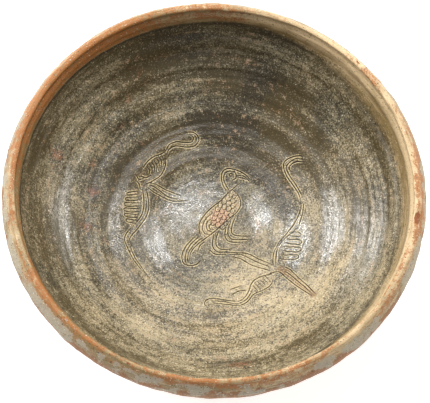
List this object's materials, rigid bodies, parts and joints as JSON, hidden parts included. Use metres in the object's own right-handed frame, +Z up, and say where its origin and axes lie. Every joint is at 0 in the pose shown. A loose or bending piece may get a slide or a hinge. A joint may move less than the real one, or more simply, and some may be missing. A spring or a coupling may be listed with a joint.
{
  "type": "slipware bowl",
  "caption": "Wheel-thrown slipware bowl on a low ring foot, with throwing ridges and a bird among leaf scrolls incised through its slip.",
  "frame": {"origin": "centre of the ring foot, on the surface that the bowl stands on", "axes": "+Z up along the bowl's axis of turning, +X to the right and +Y away from the viewer as the incised bird is seen"},
  "size_m": [0.2412, 0.2412, 0.0715],
  "materials": {
    "slipped_earthenware": "worn olive-grey lead glaze over buff slip on orange earthenware, satin, with incised lines"
  },
  "bodies": {
    "root": {"bowl": "slipped_earthenware"}
  },
  "joints": []
}
